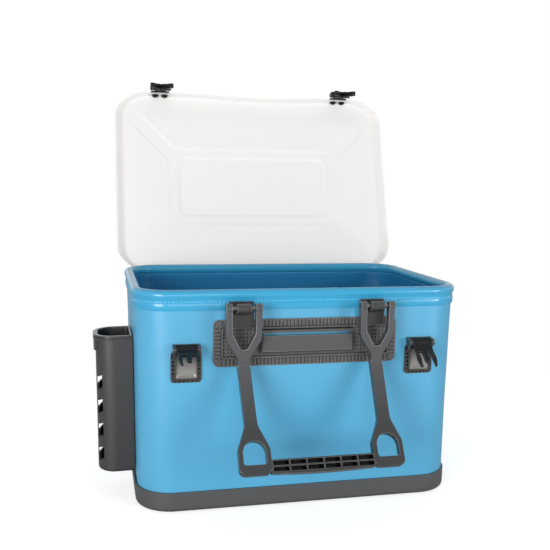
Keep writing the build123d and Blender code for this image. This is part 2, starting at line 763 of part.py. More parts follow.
def lid_tab(side):
    """Tab on the lid's front skirt, with a barrel under it for the clip's pin."""
    x = side * clip_spacing / 2
    half = tab_width / 2
    y = lid_front - tab_pin_standoff
    z = tab_pin_height
    low = lid_skirt_bottom - 1
    plate = block(x - half, x + half, lid_front - tab_thickness, lid_front, low, lid_top - tab_top_gap)
    barrel_half = tab_barrel_length / 2
    barrel = rod_x(tab_barrel_radius, x - barrel_half, x + barrel_half, y, z)
    neck = outline_yz(
        [
            (lid_front, low + 1.4), (lid_front, low), (y + tab_barrel_radius, z), (y, z - 1),
            (y - tab_barrel_radius + 0.6, z + 1.4), (lid_front - tab_thickness, low + 1.4),
        ],
        x - barrel_half, x + barrel_half,
    )
    body = plate + barrel + neck
    body -= rod_x(clip_pin_diameter / 2, x - half, x + half, y, z)
    for step in (-1, 1):
        place = x + step * rivet_spacing / 2
        body -= rod_y_at(rivet_diameter / 2, place, lid_front - tab_thickness - 1, lid_front + 1, rivet_height)
    return opened(body)


def lid_clip_pins():
    pins = []
    for side in (-1, 1):
        x = side * clip_spacing / 2
        half = socket_width / 2
        pins.append(opened(rod_x(clip_pin_diameter / 2, x - half, x + half, lid_front - tab_pin_standoff, tab_pin_height)))
    return Compound(children=pins)


def socket(side):
    """Receiving half of a clip: an oval block with a mouth, a waist and two splayed legs."""
    x = side * clip_spacing / 2
    y = lid_front - tab_pin_standoff
    z = tab_pin_height
    depth = socket_thickness / 2
    lug_inner = tab_barrel_length / 2 + clip_lug_gap
    block_top = z - tab_barrel_radius - 0.6
    block_bottom = z - socket_block - 2
    half = socket_width / 2
    waist = socket_waist / 2
    waist_z = block_bottom - 4
    shape = outline_xz(
        [(x - half, block_top), (x + half, block_top), (x + half, block_bottom + 3),
         (x + waist, waist_z), (x - waist, waist_z), (x - half, block_bottom + 3)],
        y - depth, y + depth,
    )
    shape = fillet(shape.edges().filter_by(Axis.Y).group_by(Axis.Z)[1], 3)
    for end in (-1, 1):
        low = min(x + end * lug_inner, x + end * half)
        high = max(x + end * lug_inner, x + end * half)
        shape += rod_x(tab_barrel_radius, low, high, y, z)
        shape += block(low, high, y - tab_barrel_radius, y + tab_barrel_radius, block_top - 1, z)
        tip_x = x + end * (waist - socket_leg_width / 2 + socket_leg_splay)
        tip_z = z - socket_length
        root_x = x + end * (waist - socket_leg_width / 2)
        leg = outline_xz(
            [
                (root_x - socket_leg_width / 2, waist_z + 3), (root_x + socket_leg_width / 2, waist_z + 3),
                (tip_x + socket_leg_width / 2, tip_z), (tip_x - socket_leg_width / 2, tip_z),
            ],
            y - depth + 1, y + depth - 1,
        )
        shape += fillet(leg.edges().filter_by(Axis.Y).group_by(Axis.Z)[0], 2)
    mouth_half = socket_mouth_width / 2
    slot = socket_mouth_thickness / 2
    mouth = outline_xz(
        [(x - mouth_half, block_top - 2), (x + mouth_half, block_top - 2), (x + mouth_half, block_bottom + 3),
         (x + 4, waist_z - 1), (x - 4, waist_z - 1), (x - mouth_half, block_bottom + 3)],
        y - slot, y + slot,
    )
    window = rod_y_at(2.4, x, y - depth - 1, y + depth + 1, waist_z + 1.4)
    ends = rod_x(clip_pin_diameter / 2 + clip_play, x - half - 1, x + half + 1, y, z)
    swung = (shape - mouth - window - ends).rotate(Axis((0, y, z), (1, 0, 0)), socket_rest_angle)
    return opened(swung)


def rod_section(out, y_shift=0.0):
    """The rod holder's section: flat against the wall, rounded on its outer corners."""
    wall_x = -foot_width / 2 - rod_backing_thickness
    far_x = wall_x - rod_reach - out
    near_x = wall_x if out >= 0 else wall_x + out
    half = rod_depth / 2 + out
    face = make_face(Polyline(
        (near_x, rod_y - half), (near_x, rod_y + half), (far_x, rod_y + half), (far_x, rod_y - half), close=True
    ))
    corners = face.vertices().group_by(Axis.X)
    face = fillet(corners[0], rod_outer_radius + out)
    if out < 0:
        face = fillet(face.vertices().group_by(Axis.X)[-1], rod_inner_corner)
    return face


def leaning(shape):
    """Lean a piece of the side with the left wall."""
    return shape.rotate(Axis((-foot_width / 2, 0, 0), (0, 1, 0)), -side_lean)


def rod_holder():
    wall_x = -foot_width / 2 - rod_backing_thickness
    far_x = wall_x - rod_reach
    tube = extrude(Pos(0, 0, rod_bottom) * rod_section(0), amount=rod_top - rod_bottom)
    tube = fillet(tube.edges().group_by(Axis.Z)[0].filter_by(lambda e: e.center().X < wall_x - 1), 4)
    bore = extrude(Pos(0, 0, rod_bottom + rod_wall) * rod_section(-rod_wall), amount=rod_top - rod_bottom)
    cuts = [bore]
    for i in range(rod_window_count):
        low = rod_window_first + i * rod_window_pitch
        left = far_x + rod_window_inset
        right = left + rod_window_width
        cuts.append(outline_xz(
            [(left, low), (right, low + rod_window_slant), (right, low + rod_window_height),
             (left, low + rod_window_height - rod_window_slant)],
            rod_y - rod_depth, rod_y + rod_depth,
        ))
    save(leaning(tube - cuts), "rod_tube")

    ring_low = rod_top - collar_height
    ring = extrude(Pos(0, 0, ring_low) * rod_section(collar_lip), amount=collar_height + 1.5)
    ring -= extrude(Pos(0, 0, ring_low) * rod_section(0), amount=collar_height)
    ring -= extrude(Pos(0, 0, ring_low) * rod_section(-rod_wall), amount=collar_height + 2)
    ring = fillet(ring.edges().group_by(Axis.Z)[-1], collar_edge_radius)
    skirt_low = ring_low - collar_skirt_height + 4
    skirt = extrude(Pos(0, 0, skirt_low) * rod_section(collar_lip - 0.4), amount=ring_low + 1 - skirt_low)
    skirt -= extrude(Pos(0, 0, skirt_low) * rod_section(0.05), amount=ring_low + 1 - skirt_low)
    reach = far_x + rod_outer_radius / 2
    skirt = skirt & block(far_x - 10, reach, rod_y - collar_skirt_width / 2, rod_y + collar_skirt_width / 2, 0, rod_top)
    save(leaning(ring + skirt), "rod_collar")

    middle = Plane(origin=(-foot_width / 2, rod_y, (rod_backing_bottom + rod_backing_top) / 2), z_dir=(-1, 0, 0), x_dir=(0, 1, 0))
    backing = extrude(
        middle * RectangleRounded(rod_backing_width, rod_backing_top - rod_backing_bottom, 6), amount=rod_backing_thickness
    )
    save(leaning(backing), "rod_backing")


tub()
base_pan()
lid()
lid_rivets()
hinge_strip()
rod_holder()

plate = handle_plate()
save(plate, "front_plate")
save(mirrored_back(plate), "rear_plate")
for side_name, side in (("left", -1), ("right", 1)):
    bracket = handle_bracket(side)
    save(bracket, f"front_bracket_{side_name}")
    save(mirrored_back(bracket), f"rear_bracket_{side_name}")
pins = handle_pins()
save(pins, "front_pins")
save(mirrored_back(pins), "rear_pins")
handle = carrying_handle()
save(handle, "front_handle")
save(mirrored_back(handle), "rear_handle")

for side_name, side, angle in (("left", -1, left_plug_angle), ("right", 1, right_plug_angle)):
    save(wall_clip_base(side), f"wall_clip_base_{side_name}")
    save(plug(side, angle), f"wall_clip_{side_name}")
    save(lid_tab(side), f"lid_tab_{side_name}")
    save(socket(side), f"lid_clip_{side_name}")
save(wall_clip_pins(), "wall_clip_pins")
save(lid_clip_pins(), "lid_clip_pins")
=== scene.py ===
import math

import bmesh
import bpy
from mathutils import Matrix, Vector


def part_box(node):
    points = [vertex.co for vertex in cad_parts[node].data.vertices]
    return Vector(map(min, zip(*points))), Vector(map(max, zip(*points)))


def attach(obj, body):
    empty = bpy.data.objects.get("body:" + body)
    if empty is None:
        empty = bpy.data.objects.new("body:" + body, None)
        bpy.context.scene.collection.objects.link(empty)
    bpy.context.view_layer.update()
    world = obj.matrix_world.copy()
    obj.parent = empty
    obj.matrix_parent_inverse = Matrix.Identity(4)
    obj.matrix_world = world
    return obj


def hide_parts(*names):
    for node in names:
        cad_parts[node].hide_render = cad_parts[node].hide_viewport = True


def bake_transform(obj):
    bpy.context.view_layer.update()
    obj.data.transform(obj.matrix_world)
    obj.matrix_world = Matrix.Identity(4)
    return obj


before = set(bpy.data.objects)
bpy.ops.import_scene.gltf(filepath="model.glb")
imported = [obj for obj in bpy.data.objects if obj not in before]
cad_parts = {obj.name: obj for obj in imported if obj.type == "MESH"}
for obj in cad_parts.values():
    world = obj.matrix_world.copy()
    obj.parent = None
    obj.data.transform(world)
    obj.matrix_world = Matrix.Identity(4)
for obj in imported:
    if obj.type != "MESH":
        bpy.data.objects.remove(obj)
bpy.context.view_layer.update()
bpy.ops.object.select_all(action="DESELECT")
scene = bpy.context.scene
MM = 0.001


# Camera: stands in front of the box, left of its middle and above the rim, level with the open
# lid. It is turned to the right and down, as the photograph was taken.
camera_place = (-240.8, -989.9, 386.0)
camera_heading = -13.20
camera_tilt = -7.15
camera_roll = 1.02
camera_lens = 50.96
film_width = 36
bpy.ops.object.camera_add(location=[c * MM for c in camera_place])
camera = bpy.context.object
camera_turn = Matrix.Rotation(math.radians(camera_heading), 3, "Z")
camera_turn = camera_turn @ Matrix.Rotation(math.radians(90 + camera_tilt), 3, "X")
camera_turn = camera_turn @ Matrix.Rotation(math.radians(camera_roll), 3, "Z")
camera.rotation_euler = camera_turn.to_euler()
camera.data.sensor_width = film_width
camera.data.lens = camera_lens
camera.data.clip_start = 0.01
camera.data.clip_end = 30
scene.camera = camera


# Studio: white floor paper, a white surround and three large soft lamps. The surround is bright
# behind and dim in front and overhead, which shades the box softly. Glossy surfaces see it bright
# at the sides and overhead too, and the lamps draw the highlights on the corners and the rim.
def linear(hex_colour):
    """A hex sRGB colour as linear red, green, blue and alpha."""
    parts = [int(hex_colour[i : i + 2], 16) / 255 for i in (1, 3, 5)]
    parts = [c / 12.92 if c <= 0.04045 else ((c + 0.055) / 1.055) ** 2.4 for c in parts]
    return (*parts, 1)


def add(tree, kind, settings=None, links=None):
    """Add a node. Settings are its properties or the values of its inputs, links feed its inputs."""
    node = tree.nodes.new(kind)
    for name, value in (settings or {}).items():
        if isinstance(name, str) and hasattr(node, name):
            setattr(node, name, value)
        else:
            node.inputs[name].default_value = value
    for name, source in (links or {}).items():
        tree.links.new(source, node.inputs[name])
    return node


world = bpy.data.worlds.new("white surround")
world.use_nodes = True
scene.world = world
sky = world.node_tree
sky.nodes.clear()
toward = add(sky, "ShaderNodeTexCoord")
toward = add(sky, "ShaderNodeSeparateXYZ", {}, {0: toward.outputs["Generated"]})
to_right, to_back, to_top = toward.outputs
to_side = add(sky, "ShaderNodeMath", {"operation": "ABSOLUTE"}, {0: to_right}).outputs[0]
fades = {}
# each fade: its direction, where in that direction it starts and ends, and its strength at both
for name, direction, start, end, first, last in (
    ("shading", to_back, -0.6, 0.8, 0.13, 1.12),
    ("ceiling", to_top, 0.3, 0.95, 1.0, 0.4),
    ("behind", to_back, -0.85, 0.2, 0.14, 1.0),
    ("flanks", to_side, 0.5, 0.8, 0.0, 1.1),
    ("above", to_top, 0.3, 0.75, 0.0, 0.9),
):
    ends = {"From Min": start, "From Max": end, "To Min": first, "To Max": last}
    fades[name] = add(sky, "ShaderNodeMapRange", ends, {0: direction}).outputs[0]
soft = add(sky, "ShaderNodeMath", {"operation": "MULTIPLY"}, {0: fades["shading"], 1: fades["ceiling"]})
sharp = add(sky, "ShaderNodeMath", {"operation": "MAXIMUM"}, {0: fades["behind"], 1: fades["flanks"]})
sharp = add(sky, "ShaderNodeMath", {"operation": "MAXIMUM"}, {0: sharp.outputs[0], 1: fades["above"]})
rays = add(sky, "ShaderNodeLightPath")
mirrored = add(sky, "ShaderNodeMix", {"data_type": "FLOAT"},
               {0: rays.outputs["Is Glossy Ray"], 2: soft.outputs[0], 3: sharp.outputs[0]})
straight = add(sky, "ShaderNodeMath", {"operation": "MAXIMUM"},
               {0: rays.outputs["Is Camera Ray"], 1: rays.outputs["Is Transmission Ray"]})
strength = add(sky, "ShaderNodeMix", {"data_type": "FLOAT", 3: 1.0},
               {0: straight.outputs[0], 2: mirrored.outputs[0]})
glow = add(sky, "ShaderNodeBackground", {"Color": (1, 1, 1, 1)}, {"Strength": strength.outputs[0]})
add(sky, "ShaderNodeOutputWorld", {}, {"Surface": glow.outputs[0]})

# the camera sees the paper lifted towards white, and all white past the reach of the box's shadow
paper_lift = 0.63
shadow_reach, white_from = 0.32, 0.95
paper_size = 12
paper_gap = 0.4
paper = bpy.data.materials.new("white floor paper")
paper.use_nodes = True
tree = paper.node_tree
tree.nodes.clear()
rays = add(tree, "ShaderNodeLightPath")
matt = add(tree, "ShaderNodeBsdfDiffuse", {"Color": linear("#E6E6E6")})
lift = add(tree, "ShaderNodeMath", {"operation": "MULTIPLY", 1: paper_lift},
           {0: rays.outputs["Is Camera Ray"]})
glow = add(tree, "ShaderNodeEmission", {"Color": (1, 1, 1, 1)}, {"Strength": lift.outputs[0]})
near = add(tree, "ShaderNodeAddShader", {}, {0: matt.outputs[0], 1: glow.outputs[0]})
far = add(tree, "ShaderNodeEmission", {"Color": (1, 1, 1, 1), "Strength": 1.0})
place = add(tree, "ShaderNodeTexCoord")
away = add(tree, "ShaderNodeVectorMath", {"operation": "LENGTH"}, {0: place.outputs["Object"]})
fade = add(tree, "ShaderNodeMapRange",
           {"interpolation_type": "SMOOTHSTEP", "From Min": shadow_reach, "From Max": white_from},
           {0: away.outputs["Value"]})
fade = add(tree, "ShaderNodeMath", {"operation": "MULTIPLY"},
           {0: fade.outputs[0], 1: rays.outputs["Is Camera Ray"]})
paper_shader = add(tree, "ShaderNodeMixShader", {},
                   {0: fade.outputs[0], 1: near.outputs[0], 2: far.outputs[0]})
add(tree, "ShaderNodeOutputMaterial", {}, {"Surface": paper_shader.outputs[0]})
bpy.ops.mesh.primitive_plane_add(size=paper_size, location=(0, 0, -paper_gap * MM))
floor_paper = bpy.context.object
floor_paper.name = "floor_paper"
floor_paper.data.materials.append(paper)

# each lamp: where it stands, what it is aimed at and its size, in metres, and its power
for lamp_name, stand, aim, size, watts in (
    ("left softbox", (-1.35, -1.65, 0.46), (0, 0, 0.2), 0.9, 28),
    ("right softbox", (1.35, -1.65, 0.46), (0, 0, 0.2), 0.8, 17),
    ("fill over the camera", (-0.2, -2.3, 0.55), (0, 0, 0.28), 0.9, 9),
):
    bpy.ops.object.light_add(type="AREA", location=stand)
    lamp = bpy.context.object
    lamp.name = lamp_name
    lamp.data.energy = watts
    lamp.data.size = size
    lamp.rotation_euler = (Vector(aim) - Vector(stand)).to_track_quat("-Z", "Y").to_euler()


# Base pan: a dark pan of moulded PVC, glued round the foot of the tub so that the box can stand on
# wet or rough ground. Its solid stays, and it gets a fine matt grain.
def moulding(
    name, hex_colour, crevice_hex, edge_hex, roughness, grain_mm, grain_depth,
    edge_mm=0.7, reach_mm=2.5, gloss=0.6,
):
    """A moulded plastic with a fine grain: painted shade darkens its crevices and dulls their gloss, and a
    painted highlight pales its outer edges.
    """
    # how open a spot is, from 0 to 1, where it turns from crevice to open face
    crevice, open_face, shiny_face = 0.45, 0.92, 0.9
    crevice_gloss = 0.05
    # how well a face agrees with its rounded edge, on the flat and at a sharp edge, and the strongest painted
    # highlight
    flat, sharp_edge, most_highlight = 0.99, 0.86, 0.85
    material = bpy.data.materials.new(name)
    material.use_nodes = True
    tree = material.node_tree
    shader = tree.nodes["Principled BSDF"]
    shader.inputs["Roughness"].default_value = roughness
    hollow = add(tree, "ShaderNodeAmbientOcclusion", {"samples": 8, "Distance": reach_mm * MM})
    open_side = add(tree, "ShaderNodeMapRange", {"From Min": crevice, "From Max": open_face},
                    {0: hollow.outputs["AO"]})
    # painted shade: the crevice colour fills the spots that are closed in
    shade = add(tree, "ShaderNodeMixRGB", {"Color1": linear(crevice_hex), "Color2": linear(hex_colour)},
                {"Fac": open_side.outputs[0]})
    edge = add(tree, "ShaderNodeBevel", {"samples": 8, "Radius": edge_mm * MM})
    face = add(tree, "ShaderNodeNewGeometry")
    along = add(tree, "ShaderNodeVectorMath", {"operation": "DOT_PRODUCT"},
                {0: edge.outputs[0], 1: face.outputs["Normal"]})
    # painted highlight: the edge colour where the rounded edge turns away from the face, kept out of the
    # crevices
    edge_highlight = add(tree, "ShaderNodeMapRange",
               {"From Min": flat, "From Max": sharp_edge, "To Min": 0.0, "To Max": most_highlight},
               {0: along.outputs["Value"]})
    edge_highlight = add(tree, "ShaderNodeMath", {"operation": "MULTIPLY"},
               {0: edge_highlight.outputs[0], 1: open_side.outputs[0]})
    shade = add(tree, "ShaderNodeMixRGB", {"Color2": linear(edge_hex)},
                {"Fac": edge_highlight.outputs[0], "Color1": shade.outputs[0]})
    tree.links.new(shade.outputs[0], shader.inputs["Base Color"])
    shine = add(tree, "ShaderNodeMapRange",
                {"From Min": crevice, "From Max": shiny_face, "To Min": crevice_gloss, "To Max": gloss},
                {0: hollow.outputs["AO"]})
    tree.links.new(shine.outputs[0], shader.inputs["Specular IOR Level"])
    place = add(tree, "ShaderNodeTexCoord")
    grain = add(tree, "ShaderNodeTexNoise", {"Scale": 1 / (grain_mm * MM), "Detail": 2.0},
                {"Vector": place.outputs["Object"]})
    bump = add(tree, "ShaderNodeBump", {"Strength": 0.6, "Distance": grain_depth * MM},
               {"Height": grain.outputs[0], "Normal": edge.outputs[0]})
    tree.links.new(bump.outputs[0], shader.inputs["Normal"])
    return material


def dress(material, *names):
    """Give solids of the frame this material."""
    for name in names:
        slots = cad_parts[name].data.materials
        if not slots:
            slots.append(material)
        for i in range(len(slots)):
            slots[i] = material


# moulded PVC with a fine grain: a matt dark grey, with painted shade in its crevices and a slightly paler
# painted highlight along its edges
base_pvc = moulding("moulded PVC base", "#464748", "#222324", "#5C5D5E", 0.5, 1.2, 0.05)
dress(base_pvc, "base_pan")


# Tub wall: one EVA sheet wrapped round and welded to itself inside the rear wall, so it is soft, a
# little wavy between its fittings, and shows the edge of the overlap.
def sheet_eva(name, hex_colour, deep_hex, roughness):
    """EVA sheet: satin, with a faint cloudy shade and a soft shallow pebble."""
    cloud_mm, pebble_mm = 70, 9
    pebble_depth = 0.25
    material = bpy.data.materials.new(name)
    material.use_nodes = True
    tree = material.node_tree
    shader = tree.nodes["Principled BSDF"]
    shader.inputs["Roughness"].default_value = roughness
    shader.inputs["Specular IOR Level"].default_value = 0.5
    place = add(tree, "ShaderNodeTexCoord")
    cloud = add(tree, "ShaderNodeTexNoise", {"Scale": 1 / (cloud_mm * MM), "Detail": 2.0},
                {"Vector": place.outputs["Object"]})
    shade = add(tree, "ShaderNodeMixRGB", {"Color1": linear(hex_colour), "Color2": linear(deep_hex)},
                {"Fac": cloud.outputs[0]})
    tree.links.new(shade.outputs[0], shader.inputs["Base Color"])
    pebble = add(tree, "ShaderNodeTexNoise", {"Scale": 1 / (pebble_mm * MM), "Detail": 3.0},
                 {"Vector": place.outputs["Object"]})
    bump = add(tree, "ShaderNodeBump", {"Strength": 0.35, "Distance": pebble_depth * MM},
               {"Height": pebble.outputs[0]})
    tree.links.new(bump.outputs[0], shader.inputs["Normal"])
    return material


def rounded_loop(name, width, depth, radius, z, side_cuts=0):
    """A flat face with rounded corners at a height, in millimetres, its long edges cut evenly."""
    corner_steps = 16
    shortest_side = 60
    bpy.ops.object.select_all(action="DESELECT")
    bpy.ops.mesh.primitive_plane_add(size=1, location=(0, 0, z * MM))
    piece = bpy.context.object
    piece.name = name
    piece.scale = (width * MM, depth * MM, 1)
    bpy.ops.object.transform_apply(location=True, rotation=True, scale=True)
    bpy.ops.object.mode_set(mode="EDIT")
    bpy.ops.mesh.select_all(action="SELECT")
    bpy.ops.mesh.bevel(offset=radius * MM, segments=corner_steps, affect="VERTICES")
    if side_cuts:
        bpy.ops.mesh.select_all(action="DESELECT")
        bpy.ops.mesh.select_mode(type="EDGE")
        shape = bmesh.from_edit_mesh(piece.data)
        for edge in shape.edges:
            edge.select_set(edge.calc_length() > shortest_side * MM)
        bmesh.update_edit_mesh(piece.data)
        bpy.ops.mesh.subdivide(number_cuts=side_cuts)
        bpy.ops.mesh.select_mode(type="VERT")
    bpy.ops.object.mode_set(mode="OBJECT")
    return piece


def keep_outline():
    """Take away the active piece's face and leave its edges."""
    bpy.ops.object.mode_set(mode="EDIT")
    bpy.ops.mesh.select_all(action="SELECT")
    bpy.ops.mesh.delete(type="ONLY_FACE")
    bpy.ops.object.mode_set(mode="OBJECT")


def face_out(piece):
    """Merge a piece's doubles and turn its faces outwards."""
    bpy.ops.object.select_all(action="DESELECT")
    piece.select_set(True)
    bpy.context.view_layer.objects.active = piece
    bpy.ops.object.mode_set(mode="EDIT")
    bpy.ops.mesh.select_all(action="SELECT")
    bpy.ops.mesh.remove_doubles(threshold=0.01 * MM)
    bpy.ops.mesh.normals_make_consistent(inside=False)
    bpy.ops.object.mode_set(mode="OBJECT")


def thicken(piece, sheet_mm, side):
    """Give a sheet its thickness: behind its faces for -1, half each way for 0, before them for 1."""
    thickness = piece.modifiers.new("sheet thickness", "SOLIDIFY")
    thickness.thickness = sheet_mm * MM
    thickness.offset = side
    return thickness


def apply_all(piece):
    """Apply a piece's modifiers in order."""
    bpy.ops.object.select_all(action="DESELECT")
    piece.select_set(True)
    bpy.context.view_layer.objects.active = piece
    for name in [modifier.name for modifier in piece.modifiers]:
        bpy.ops.object.modifier_apply(modifier=name)


def share(value):
    """A value held between 0 and 1."""
    return min(1.0, max(0.0, value))


# EVA sheet, calendered and welded: a satin blue that reflects softly. Its inner face gets a deeper blue copy
# of it, painted shade for the dim inside of the tub
eva_blue = sheet_eva("EVA sheet, welded", "#55A6CC", "#4B9FC6", 0.36)
eva_inner_shade = sheet_eva("EVA sheet, inner face, painted shade", "#2A80B2", "#2478AA", 0.28)
foot_width = 386.0
top_width = 394.0
wall_depth = 258.0
wall_corner = 42.0
wall_foot = 3.5
wall_top = 247.0
lean_to = 253.0
wall_rise = 8.0
wall_cuts = 36
wall_thickness = 2.5


def wall_width(z):
    """The tub's width at a height, as its two sides lean out."""
    return foot_width + (top_width - foot_width) * z / lean_to


wall = rounded_loop("tub_wall_sheet", wall_width(wall_foot), wall_depth, wall_corner, wall_foot, wall_cuts)
keep_outline()
bpy.ops.object.mode_set(mode="EDIT")
bpy.ops.mesh.select_all(action="SELECT")
z = wall_foot
while z < wall_top - 0.01:
    step = min(wall_rise, wall_top - z)
    wider = wall_width(z + step) / wall_width(z)
    bpy.ops.mesh.extrude_region_move(TRANSFORM_OT_translate={"value": (0, 0, step * MM)})
    bpy.ops.transform.resize(value=(wider, 1, 1), center_override=(0, 0, (z + step) * MM))
    z += step
bpy.ops.object.mode_set(mode="OBJECT")
face_out(wall)

# what is welded on keeps the sheet flat there: centre along the wall, centre up, half sizes
welded_spots = {
    "front": ((0, 205, 118, 48), (-140.5, 178, 24, 32), (140.5, 178, 24, 32)),
    "rear": ((0, 200, 118, 52), (9, 125, 16, 125)),
    "side": ((-40, 118, 42, 88),),
}
spot_fade = 18
# elsewhere it is drawn in a little and wavy: long waves with short slanting ones over them
wave_foot, wave_top, wave_fade = 24, 228, 30
wave_height = 0.55
drawn_in, wave_share, short_share = 0.8, 0.5, 0.6
long_along, long_up, short_along, short_up = 31, 37, 17, 23
for vertex in wall.data.vertices:
    x, y, z = (c / MM for c in vertex.co)
    on_side = abs(x) > abs(y) * wall_width(z) / wall_depth
    along = y if on_side else x
    name = "side" if on_side else ("front" if y < 0 else "rear")
    spots = welded_spots[name] if not (on_side and x > 0) else ()
    free = share((wave_top - z) / wave_fade) * share((z - wave_foot) / wave_fade)
    for centre, height, half_across, half_up in spots:
        away = max(abs(along - centre) - half_across, abs(z - height) - half_up)
        free *= share(away / spot_fade)
    long_wave = math.sin(along / long_along + 0.9) * math.sin(z / long_up + 0.4)
    wave = long_wave + short_share * math.sin(along / short_along - z / short_up)
    shift = -wave_height * free * (drawn_in + wave_share * wave) * MM
    if on_side:
        vertex.co.x += shift if x > 0 else -shift
    else:
        vertex.co.y += shift if y > 0 else -shift
wall.data.materials.append(eva_blue)
wall.data.materials.append(eva_inner_shade)
# the inner face of the wall takes the deeper blue copy: painted shade
thicken(wall, wall_thickness, -1).material_offset = 1
apply_all(wall)

# the overlap, which stands out from the inner face of the rear wall
seam_place = (9.0, 125.95, 119)
seam_size = (20, 0.9, 226)
seam_edge = 0.3
bpy.ops.object.select_all(action="DESELECT")
bpy.ops.mesh.primitive_cube_add(size=1, location=[c * MM for c in seam_place])
seam = bpy.context.object
seam.scale = [c * MM for c in seam_size]
bpy.ops.object.transform_apply(location=True, rotation=True, scale=True)
soft_edge = seam.modifiers.new("soft edge", "BEVEL")
soft_edge.width = seam_edge * MM
soft_edge.segments = 1
apply_all(seam)
seam.data.materials.append(eva_inner_shade)
wall.select_set(True)
bpy.context.view_layer.objects.active = wall
bpy.ops.object.join()
bpy.ops.object.shade_smooth_by_angle(angle=math.radians(40))
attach(wall, "tub")
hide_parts("tub_wall")


# Tub floor: a second EVA sheet, welded in across the foot of the wall and crowned a little in its middle. It
# has the deeper blue of the sheet's inner face, painted shade for the dim inside of the tub.
floor_height = 6.0
floor_inset = 2.5
floor_thickness = 2.4
# each step inwards: its share of the last outline, and how far it rises
crown_steps = ((0.9, 0.4), (0.75, 0.5), (0.5, 0.3))
floor_width = wall_width(floor_height) - 2 * floor_inset
floor_depth = wall_depth - 2 * floor_inset
floor = rounded_loop("tub_floor_sheet", floor_width, floor_depth, wall_corner - floor_inset, floor_height)
bpy.ops.object.mode_set(mode="EDIT")
bpy.ops.mesh.select_all(action="SELECT")
for shrink, rise in crown_steps:
    bpy.ops.mesh.extrude_region_move(TRANSFORM_OT_translate={"value": (0, 0, rise * MM)})
    bpy.ops.transform.resize(value=(shrink, shrink, 1), center_override=(0, 0, 0))
bpy.ops.object.mode_set(mode="OBJECT")
face_out(floor)
thicken(floor, floor_thickness, -1 if floor.data.polygons[0].normal.z > 0 else 1)
apply_all(floor)
floor.data.materials.append(eva_inner_shade)
bpy.ops.object.shade_smooth_by_angle(angle=math.radians(40))
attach(floor, "tub")
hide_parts("tub_floor")


# Rim binding: a strip of the same sheet folded over a round core, so the rim has a fat bead with a
# leg down each side of the wall. One row of stitches through both legs shows on each as dashes.
def as_flat_curve():
    """Turn the active outline into a flat curve."""
    bpy.ops.object.convert(target="CURVE")
    curve = bpy.context.object
    curve.data.dimensions = "2D"
    curve.data.fill_mode = "NONE"
    return curve


# EVA sheet, heat pressed: glossier than the wall and a deeper blue
binding_blue = sheet_eva("EVA binding, heat pressed", "#3A9FC9", "#3599C3", 0.2)
bead_inset = 3.0
bead_height = 253.0
bead_radius = 6.0
bead_start, bead_end, bead_step = -42, 223, 12
leg_foot = 235.4
stitch_height = 245.4
inner_leg_top = 246.9


def bead_point(angle):
    """A point round the bead, as the other points of the binding's outline are given."""
    turn = math.radians(angle)
    return (-bead_inset + bead_radius * math.cos(turn), bead_height + bead_radius * math.sin(turn))


# the outline of the folded strip: how far outside the wall's outer face, and how high
section = [(-0.25, leg_foot + 0.1), (0.85, leg_foot), (1.25, leg_foot + 0.9), (1.75, 239.5)]
section += [(1.85, 242.4), (1.25, 244.5), (0.85, stitch_height), (0.95, 246.6)]
section += [bead_point(angle) for angle in range(bead_start, bead_end, bead_step)]
section += [(-4.2, 246.8), (-3.25, stitch_height), (-3.4, 243.4), (-3.2, 239.5)]
section += [(-2.95, leg_foot + 0.4), (-2.2, leg_foot), (-2.3, 246.0), (-0.3, 246.0)]

rounded_loop("rim path", top_width, wall_depth, wall_corner, 0)
keep_outline()
path = as_flat_curve()

profile = bpy.data.objects.new("binding profile", bpy.data.curves.new("binding profile", "CURVE"))
scene.collection.objects.link(profile)
profile.data.dimensions = "2D"
line = profile.data.splines.new("POLY")
line.points.add(len(section) - 1)
for point, (out, height) in zip(line.points, section):
    point.co = (-out * MM, height * MM, 0, 1)
line.use_cyclic_u = True
path.data.bevel_mode = "OBJECT"
path.data.bevel_object = profile
bpy.ops.object.convert(target="MESH")
binding = bpy.context.object
binding.name = "rim_binding_strip"
bpy.data.objects.remove(profile)
face_out(binding)
binding.data.materials.clear()
binding.data.materials.append(binding_blue)
binding.data.materials.append(eva_inner_shade)
# faces of the inner leg, which look into the tub, take the deeper blue inner copy: painted shade
for face in binding.data.polygons:
    if face.center.z < inner_leg_top * MM and face.normal.xy.dot(face.center.xy) < 0:
        face.material_index = 1
bpy.ops.object.shade_smooth_by_angle(angle=math.radians(50))
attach(binding, "tub")
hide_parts("rim_binding")

# extruded PE, pale and matt: the core is hidden inside the bead
core_pe = moulding("extruded PE core", "#DDDDD8", "#A8A8A4", "#EEEEEA", 0.6, 3.0, 0.02)
dress(core_pe, "rim_core")

